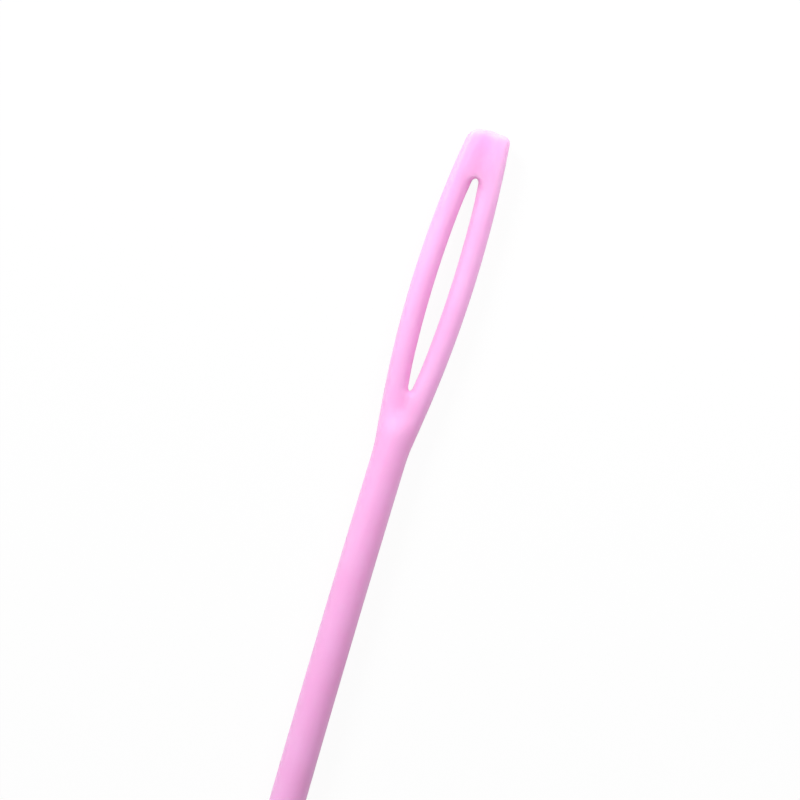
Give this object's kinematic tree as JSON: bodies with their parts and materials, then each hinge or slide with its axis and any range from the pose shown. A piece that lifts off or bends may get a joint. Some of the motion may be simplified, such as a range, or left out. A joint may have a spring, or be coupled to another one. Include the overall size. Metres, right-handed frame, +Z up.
{
  "type": "yarn needle",
  "caption": "Plastic yarn needle: round shaft with a blunt tapered point, forking into bowed rails round a long lens-shaped eye closed by a blunt grooved crown.",
  "frame": {"origin": "middle of the needle's box, on the surface it lies on", "axes": "+X along the needle from the blunt point to the eye, +Y across the head, +Z up through the eye"},
  "size_m": [0.09, 0.0052, 0.003],
  "materials": {
    "needle_plastic": "satin moulded plastic, pale pink, slightly translucent"
  },
  "bodies": {
    "root": {"point": "needle_plastic", "shaft": "needle_plastic", "eye_root": "needle_plastic", "eye_rail_left": "needle_plastic", "eye_rail_right": "needle_plastic", "crown": "needle_plastic"}
  },
  "joints": []
}
